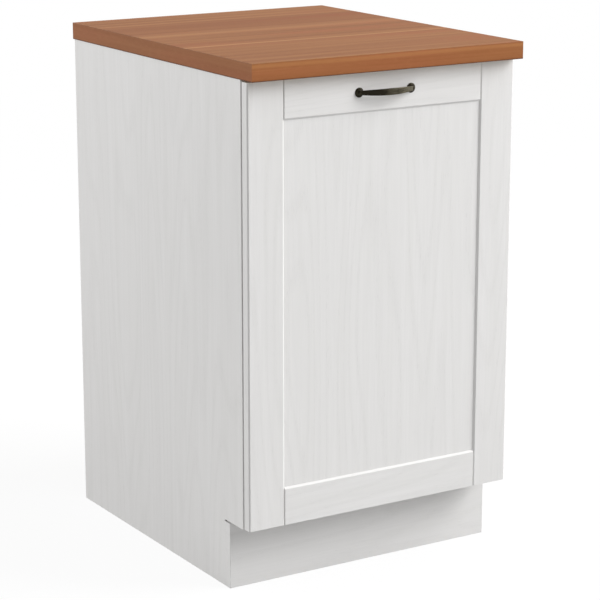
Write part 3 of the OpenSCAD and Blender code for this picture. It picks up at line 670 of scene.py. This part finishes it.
# A dark stripe along the edging's lower arris is painted shade, for that arris in shadow
painted_arris_shade = ("5a3826", "Z", edging_foot, 5 * mm, 0, 0.8)
# The light stripe near the top of the front edging is a painted highlight along its upper edge
front_look = {
    "light": "a56d44", "dark": "905933", "red": "a0603e",
    "stripes": (("b8804f", "Z", edging_foot + 23 * mm, 8 * mm, 3 * mm, 0.4), painted_arris_shade)
}
# Painted light: the ends are the same edging as the front, given greyer colours for the light on them
end_look = {"light": "a26e4a", "dark": "8d5a39", "red": "9e6243", "stripes": (painted_arris_shade,)}
for side, grain, sheet_shift, look in (
    ("front", "X", (0.4, 0.9, 0.2), front_look),
    ("left", "Y", (0.1, 0.5, 0.8), end_look),
    ("right", "Y", (0.6, 0.2, 0.9), end_look),
):
    low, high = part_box("worktop_edging_" + side)
    edging = block("edging_" + side, low, high)
    if side == "front":
        round_edges(lambda end: near(end.z, low.z) and near(end.y, low.y), edging_round, segments=4)
    else:
        outer = high.x if side == "right" else low.x
        round_edges(lambda end: near(end.z, low.z) and near(end.x, outer), edging_round, segments=4)
    smooth_rounds(edging)
    hand_over(
        edging, cherry_print("cherry_edging_" + side, grain, sheet_shift, **look),
        "carcass", "cherry_edging", "worktop_edging_" + side
    )

# Runners
# Full-extension ball-bearing runners: three roll-formed steel members each, zinc plated, with balls
# held in pressed strips between them. One pair carries each drawer box.
runner_zinc = plated_steel("zinc_plated_strip", "c3c7ca", "a2a6aa", 0.42, 0.5 * mm)
ball_steel = plated_steel("polished_balls", "d8dadc", "bfc2c5", 0.15, 0.3 * mm)
for level in ("lower", "upper"):
    for side in ("left", "right"):
        for member in ("cabinet", "middle", "drawer"):
            finish_node(member + "_runner_" + level + "_" + side, runner_zinc)
for name in ("outer_ball_cages", "inner_ball_cages"):
    finish_node(name, runner_zinc)
for name in ("outer_balls", "inner_balls"):
    finish_node(name, ball_steel)


def away_from_middle(place, size):
    """Towards the cabinet's side, left or right."""
    return (math.copysign(1, place.x), 0, 0)


screws("cabinet_side_screws", "cabinet_runner_screws", towards_middle, "carcass", head_h=1 * mm)
screws("drawer_side_screws", "drawer_runner_screws", away_from_middle, "pull_out", head_h=1 * mm)

# Drawer boxes
# A deep box below and a shallow one above, of 12 mm chipboard wrapped in white foil, joined by dowels.
# A hardboard bottom lies in grooves of the sides and the front. The front is screwed on from inside.
wrap_round = 1.2 * mm
wrap_arris = 0.25 * mm


def white_foil():
    """White polypropylene foil wrapped round chipboard: a plain, slightly pearly skin with a fine
    orange-peel texture, through which the chips of the core show as a faint mottle."""
    material, tree = new_material("white_wrap_foil")
    place = object_place(tree)
    tone = laid_colours(tree, "d8d8d5", (
        ("dcdcd9", noise(tree, place, 80 * mm, 2.0), 0.3, 0.7, 1.0),
        ("cfcfcc", noise(tree, place, 7 * mm, 2.0), 0.5, 0.75, 0.6),
    ))
    peel = noise(tree, place, 0.9 * mm, 2.0)
    finish_material(tree, {
        "Base Color": tone, "Roughness": 0.42, "IOR": 1.49, "Specular IOR Level": 0.3,
        "Normal": bumped(tree, peel, 0.2, 0.05 * mm)
    })
    return material


drawer_foil = white_foil()
bottom_play = Vector((groove_play, groove_play, 0))
for level in ("lower", "upper"):
    bottom_low, bottom_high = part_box(level + "_box_bottom")
    for part in ("side_left", "side_right", "front", "back"):
        name = level + "_box_" + part
        low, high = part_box(name)
        board = block(level + "_drawer_" + part, low, high)
        round_edges(lambda end: near(end.z, high.z), wrap_round, segments=4)
        if part != "back":
            cut_away(board, bottom_low - bottom_play, bottom_high + bottom_play)
        ease(board, wrap_arris)
        hand_over(board, drawer_foil, "pull_out", "drawer_board", name)
    finish_node(level + "_box_bottom", drawer_foil)
finish_node("box_dowels", beech)
screws(
    "front_fixing_screws", "front_screws", lambda place, size: (0, 1, 0), "pull_out", head_h=2.4 * mm
)

# Front frame
# Two stiles and two rails of 16 mm MDF wrapped in white ash-look foil, round a thin recessed panel.
# The rails' coped ends leave a V groove against the stiles, and a bevel runs round the opening.
panel_low, panel_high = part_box("front_panel")
stile_low, stile_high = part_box("front_stile_right")
face_y, back_y = stile_low.y, stile_high.y
bevel = panel_low.y - face_y
v_groove = 2.2 * mm
rail_chamfer = 1 * mm
outer_chamfer = 2 * mm
frame_arris = 0.3 * mm
inner_x = stile_low.x
groove_depth = panel_high.x - inner_x + groove_play

for side, turn, sheet_shift in (("left", -1, (0.15, 0.3, 0.55)), ("right", 1, (0.55, 0.7, 0.15))):
    low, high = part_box("front_stile_" + side)
    stile = block("stile_" + side, low, high)
    bpy.ops.object.mode_set(mode="EDIT")
    saw_line(1, panel_low.y)
    pick_edges(lambda end: near(end.x, turn * inner_x) and near(end.y, face_y))
    bpy.ops.transform.translate(value=(turn * bevel, 0, 0))
    bpy.ops.object.mode_set(mode="OBJECT")
    round_edges(
        lambda end: near(end.x, turn * stile_high.x) and near(end.y, face_y), outer_chamfer, segments=1
    )
    reach = sorted((turn * (inner_x - mm), turn * (inner_x + groove_depth)))
    cut_away(stile, (reach[0], panel_low.y, low.z - mm), (reach[1], panel_high.y, high.z + mm))
    ease(stile, frame_arris)
    hand_over(
        stile, white_ash("white_ash_stile_" + side, "Z", sheet_shift),
        "pull_out", "white_front", "front_stile_" + side
    )

for name, inwards, sheet_shift in (("top", -1, (0.25, 0.45, 0.05)), ("bottom", 1, (0.75, 0.05, 0.6))):
    low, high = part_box("front_" + name + "_rail")
    tongue_x = high.x
    inner_z = low.z if inwards < 0 else high.z
    rail = block("rail_" + name, (-inner_x, face_y, low.z), (inner_x, back_y, high.z))
    bpy.ops.object.mode_set(mode="EDIT")
    for depth in (v_groove, bevel, panel_high.y - face_y):
        saw_line(1, face_y + depth)
    # The inner long edge slopes back to the panel, and each end follows the stile's bevel from its
    # V groove
    for depth in (0, v_groove):
        pick_edges(lambda end: near(end.z, inner_z) and near(end.y, face_y + depth))
        bpy.ops.transform.translate(value=(0, 0, -inwards * (bevel - depth)))
    for turn in (-1, 1):
        for depth, out in ((0, bevel - v_groove - rail_chamfer), (v_groove, bevel - v_groove)):
            pick_edges(lambda end: near(end.x, turn * inner_x) and near(end.y, face_y + depth))
            bpy.ops.transform.translate(value=(turn * out, 0, 0))
        pick_faces(
            lambda centre, normal: normal.x * turn > 0.9 and panel_low.y < centre.y < panel_high.y
        )
        pull((turn * (tongue_x - inner_x), 0, 0))
    bpy.ops.object.mode_set(mode="OBJECT")
    groove_z = sorted((inner_z + inwards * mm, inner_z - inwards * groove_depth))
    cut_away(
        rail, (-tongue_x - mm, panel_low.y, groove_z[0]), (tongue_x + mm, panel_high.y, groove_z[1])
    )
    ease(rail, frame_arris)
    hand_over(
        rail, white_ash("white_ash_rail_" + name, "X", sheet_shift),
        "pull_out", "white_front", "front_" + name + "_rail"
    )

panel = block("centre_panel", panel_low, panel_high)
ease(panel, frame_arris)
hand_over(
    panel, white_ash("white_ash_panel", "Z", (0.05, 0.15, 0.4)),
    "pull_out", "white_front", "front_panel"
)


def clear_bumper():
    """Cast polyurethane pads: clear, soft and slightly milky."""
    material, tree = new_material("clear_polyurethane")
    haze = noise(tree, object_place(tree), 2 * mm, 2.0)
    finish_material(tree, {
        "Base Color": laid_colours(tree, "ccd0ce", (("dfe2e0", haze, 0, 1, 1.0),)),
        "Roughness": 0.25, "IOR": 1.5, "Transmission Weight": 0.6
    })
    return material


finish_node("bumpers", clear_bumper())

# Handle
# A bow of steel strap, bent to an arc and taller in the middle, with a round foot at each end on a
# turned rosette. All of it is plated in antique bronze and brushed, so that the dark patina is
# rubbed through along the bow. That rub-through is also painted lighter towards the right end, as
# painted light. Two machine screws hold it from the back of the top rail.
bow_low, bow_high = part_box("handle_bow")
rosette_low, rosette_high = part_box("handle_rosettes")
rosette_d = rosette_high.z - rosette_low.z
rosette_t = face_y - rosette_low.y
handle_z = (rosette_low.z + rosette_high.z) / 2
foot_x = rosette_high.x - rosette_d / 2
foot_r = bow_high.x - foot_x
strap_t = 3 * mm
strap_h = bow_high.z - bow_low.z
strap_end_h = 7 * mm
strap_round = 0.7 * mm
foot_reach = 6.5 * mm
disc_sides = 64


def antique_bronze(name, left_wear_and_painted_light, right_wear_and_painted_light):
    """Antique bronze plate: a brown-black patina, brushed through to a greyer metal along the bow. The
    rub-through is also painted stronger from left to right along X, as painted light for the bow's lit
    right end. Rubbing leaves fine streaks along X, and an uneven sheen."""
    material, tree = new_material(name)
    metal = board_coordinates(tree, "X", (0, 0, 0))
    brushed = streaks(tree, metal, 0.7 * mm, 16 * mm, 3.0)
    patches = streaks(tree, metal, 5 * mm, 16 * mm, 2.0)
    along = add_node(tree, "ShaderNodeSeparateXYZ", {"Vector": object_place(tree)}).outputs["X"]
    # Painted light: the rub-through rises from the left end to the right end, which catches the key
    # light
    wear_and_painted_light = ranged(tree, along, -25 * mm, 45 * mm, left_wear_and_painted_light, right_wear_and_painted_light)
    rubbed_and_painted_light = calculate(tree, "MULTIPLY", calculate(tree, "MULTIPLY", wear_and_painted_light, patches), brushed)
    tone = laid_colours(tree, "26231c", (("76705e", rubbed_and_painted_light, 0.05, 0.35, 1.0),))
    finish_material(tree, {
        "Base Color": tone, "Metallic": 1.0, "Roughness": ranged(tree, rubbed_and_painted_light, 0.05, 0.35, 0.5, 0.34),
        "Normal": bumped(tree, brushed, 0.25, 0.05 * mm)
    })
    return material


bronze = antique_bronze("antique_bronze_bow", 0.1, 1.0)
dark_bronze = antique_bronze("antique_bronze_feet", 0.25, 0.35)
sagitta = face_y - foot_reach - bow_low.y
bow_r = (foot_x ** 2 + sagitta ** 2) / (2 * sagitta)
bow_centre = Vector((0, bow_low.y + bow_r, handle_z))
half_sweep = math.asin(foot_x / bow_r)
swell_r = (foot_x ** 2 + ((strap_h - strap_end_h) / 2) ** 2) / (strap_h - strap_end_h)
bow_steps = 48


def strap_height(turn):
    """Height of the strap where it has turned by an angle from the middle."""
    x = bow_r * math.sin(turn)
    return strap_h - 2 * (swell_r - math.sqrt(swell_r ** 2 - x ** 2))


# This version of the rotate tool turns clockwise for a positive value, seen from above
bpy.ops.object.select_all(action="DESELECT")
bpy.ops.mesh.primitive_plane_add(
    size=1, rotation=(0, math.pi / 2, 0), location=(0, bow_low.y + strap_t / 2, handle_z)
)
bow = bpy.context.active_object
bow.name = bow.data.name = "handle_strap"
bow.scale = (strap_end_h, strap_t, 1)
bpy.ops.object.transform_apply(location=True, rotation=True, scale=True)
bpy.ops.object.mode_set(mode="EDIT")
bpy.ops.mesh.select_all(action="SELECT")
bpy.ops.transform.rotate(value=half_sweep, orient_axis="Z", center_override=bow_centre)
for step in range(bow_steps):
    turn = half_sweep * (2 * step / bow_steps - 1)
    next_turn = half_sweep * (2 * (step + 1) / bow_steps - 1)
    pull((0, 0, 0))
    bpy.ops.transform.rotate(value=turn - next_turn, orient_axis="Z", center_override=bow_centre)
    taller = strap_height(next_turn) / strap_height(turn)
    bpy.ops.transform.resize(value=(1, 1, taller), center_override=bow_centre)
face_outwards()
ease(bow, strap_round, segments=3)


def turned_disc(name, x, start_y, steps, diameter):
    """A disc of the given diameter at a place on the front, built up towards -Y by steps of
    (narrowing of its radius, height)."""
    bpy.ops.object.select_all(action="DESELECT")
    bpy.ops.mesh.primitive_circle_add(
        vertices=disc_sides, radius=diameter / 2, fill_type="NGON",
        location=(x, start_y, handle_z), rotation=(math.pi / 2, 0, 0)
    )
    disc = bpy.context.active_object
    disc.name = disc.data.name = name
    bpy.ops.object.transform_apply(location=True, rotation=True, scale=True)
    bpy.ops.object.mode_set(mode="EDIT")
    bpy.ops.mesh.select_all(action="SELECT")
    for narrowing, height in steps:
        pull((0, -height, 0))
        if narrowing:
            share = 1 - 2 * narrowing / diameter
            bpy.ops.transform.resize(value=(share, 1, share), center_override=(x, 0, handle_z))
            diameter -= 2 * narrowing
    face_outwards()
    # The steps' own edges stay sharp, and the domes between them are smooth
    smooth_rounds(disc, degrees=38)
    return disc


foot_steps = (
    (0.2 * mm, 0.2 * mm), (0, 2.2 * mm), (0.25 * mm, 0.5 * mm), (0.5 * mm, 0.35 * mm),
    (0.9 * mm, 0.2 * mm)
)
rosette_steps = (
    (0, 0.7 * mm), (0.15 * mm, 0.25 * mm), (0.35 * mm, 0.15 * mm), (0.7 * mm, 0.05 * mm),
    (0.3 * mm, 0.25 * mm), (0.35 * mm, 0.6 * mm), (0.5 * mm, 0.55 * mm), (0.7 * mm, 0.35 * mm),
    (0.6 * mm, 0.08 * mm)
)
for side, turn in (("left", -1), ("right", 1)):
    foot = turned_disc("handle_foot_" + side, turn * foot_x, face_y - rosette_t, foot_steps, 2 * foot_r)
    hand_over(foot, dark_bronze, "pull_out", "antique_bronze")
    rosette = turned_disc("rosette_" + side, turn * foot_x, face_y, rosette_steps, rosette_d)
    hand_over(rosette, dark_bronze, "pull_out", "antique_bronze", "handle_rosettes")
hand_over(bow, bronze, "pull_out", "antique_bronze", "handle_bow")
screws(
    "handle_fixing_screws", "handle_screws", lambda place, size: (0, 1, 0), "pull_out", head_h=2.2 * mm
)

# Studio
# A pale floor that the camera sees as white, a big soft key light on the right, a smaller one above it,
# one behind on the left for the side panel, and a low even light from all round.
floor_size = 60
floor_colour = "bcbcbc"
# How much of the floor's white doesn't depend on the light: near the unit, where its shadow lies, and
# the distances between which that rises to all of it, so that no horizon shows
near_glow = 0.9
glow_start = 1.2
glow_full = 5.0
sky_strength = 0.456
aim = Vector((0, -0.1, 0.45))
# Name, degrees round from the front towards the right, degrees above level, distance and size in
# metres, and power in watts
LAMPS = (
    ("key_light", 55, 30, 12.0, 7.0, 1381),
    ("high_light", 55, 50, 5.0, 3.0, 44),
    ("side_light", -135, 15, 9.0, 4.0, 420),
)

bpy.ops.object.select_all(action="DESELECT")
bpy.ops.mesh.primitive_plane_add(size=floor_size)
floor = bpy.context.active_object
floor.name = "floor"
material, tree = new_material("studio_floor")


def seen_rays(tree):
    """1 for what the camera sees, straight, mirrored or through glass, and 0 for the light itself."""
    rays = add_node(tree, "ShaderNodeLightPath").outputs
    seen = rays["Is Camera Ray"]
    for kind in ("Is Glossy Ray", "Is Transmission Ray"):
        seen = calculate(tree, "MAXIMUM", seen, rays[kind])
    return seen


seen = seen_rays(tree)
pale = add_node(
    tree, "ShaderNodeMixRGB", {"Fac": seen, "Color1": linear(floor_colour), "Color2": linear("ffffff")}
)
matt = add_node(tree, "ShaderNodeBsdfDiffuse", {"Color": pale.outputs["Color"]})
white = add_node(tree, "ShaderNodeEmission", {"Color": linear("ffffff"), "Strength": 1.0})
away = add_node(
    tree, "ShaderNodeVectorMath", {0: object_place(tree)}, operation="LENGTH"
).outputs["Value"]
glow = ranged(tree, away, glow_start, glow_full, at_start=near_glow)
shown = add_node(
    tree, "ShaderNodeMixShader",
    {0: calculate(tree, "MULTIPLY", seen, glow), 1: matt.outputs["BSDF"], 2: white.outputs["Emission"]}
)
add_node(tree, "ShaderNodeOutputMaterial", {"Surface": shown.outputs["Shader"]})
floor.data.materials.append(material)

world = bpy.data.worlds.new("studio")
bpy.context.scene.world = world
world.use_nodes = True
world.node_tree.nodes.clear()
tree = world.node_tree
strength = ranged(tree, seen_rays(tree), 0, 1, at_start=sky_strength)
sky = add_node(tree, "ShaderNodeBackground", {"Color": linear("ffffff"), "Strength": strength})
add_node(tree, "ShaderNodeOutputWorld", {"Surface": sky.outputs["Background"]})

for name, round_degrees, up_degrees, distance, size, power in LAMPS:
    turn, lift = math.radians(round_degrees), math.radians(up_degrees)
    towards = Vector((math.sin(turn) * math.cos(lift), -math.cos(turn) * math.cos(lift), math.sin(lift)))
    lamp = bpy.data.lights.new(name, "AREA")
    lamp.size = size
    lamp.energy = power
    holder = bpy.data.objects.new(name, lamp)
    holder.location = aim + towards * distance
    holder.rotation_euler = (-towards).to_track_quat("-Z", "Y").to_euler()
    bpy.context.collection.objects.link(holder)

# Camera
# It stands to the left of the front and a little above the worktop, looking down on the unit. Its
# place, its angles and its lens were fitted to the corners of the unit in the photo.
camera_place = (-1.8798, -3.0745, 1.2959)
tilt_degrees = 14.03
turn_degrees = 31.69
lens = bpy.data.cameras.new("camera")
lens.lens = 131.65
lens.sensor_width = 36
camera = bpy.data.objects.new("camera", lens)
camera.location = camera_place
camera.rotation_euler = (math.radians(90 - tilt_degrees), 0, math.radians(-turn_degrees))
bpy.context.collection.objects.link(camera)
bpy.context.scene.camera = camera
bpy.context.scene.view_settings.view_transform = "Standard"
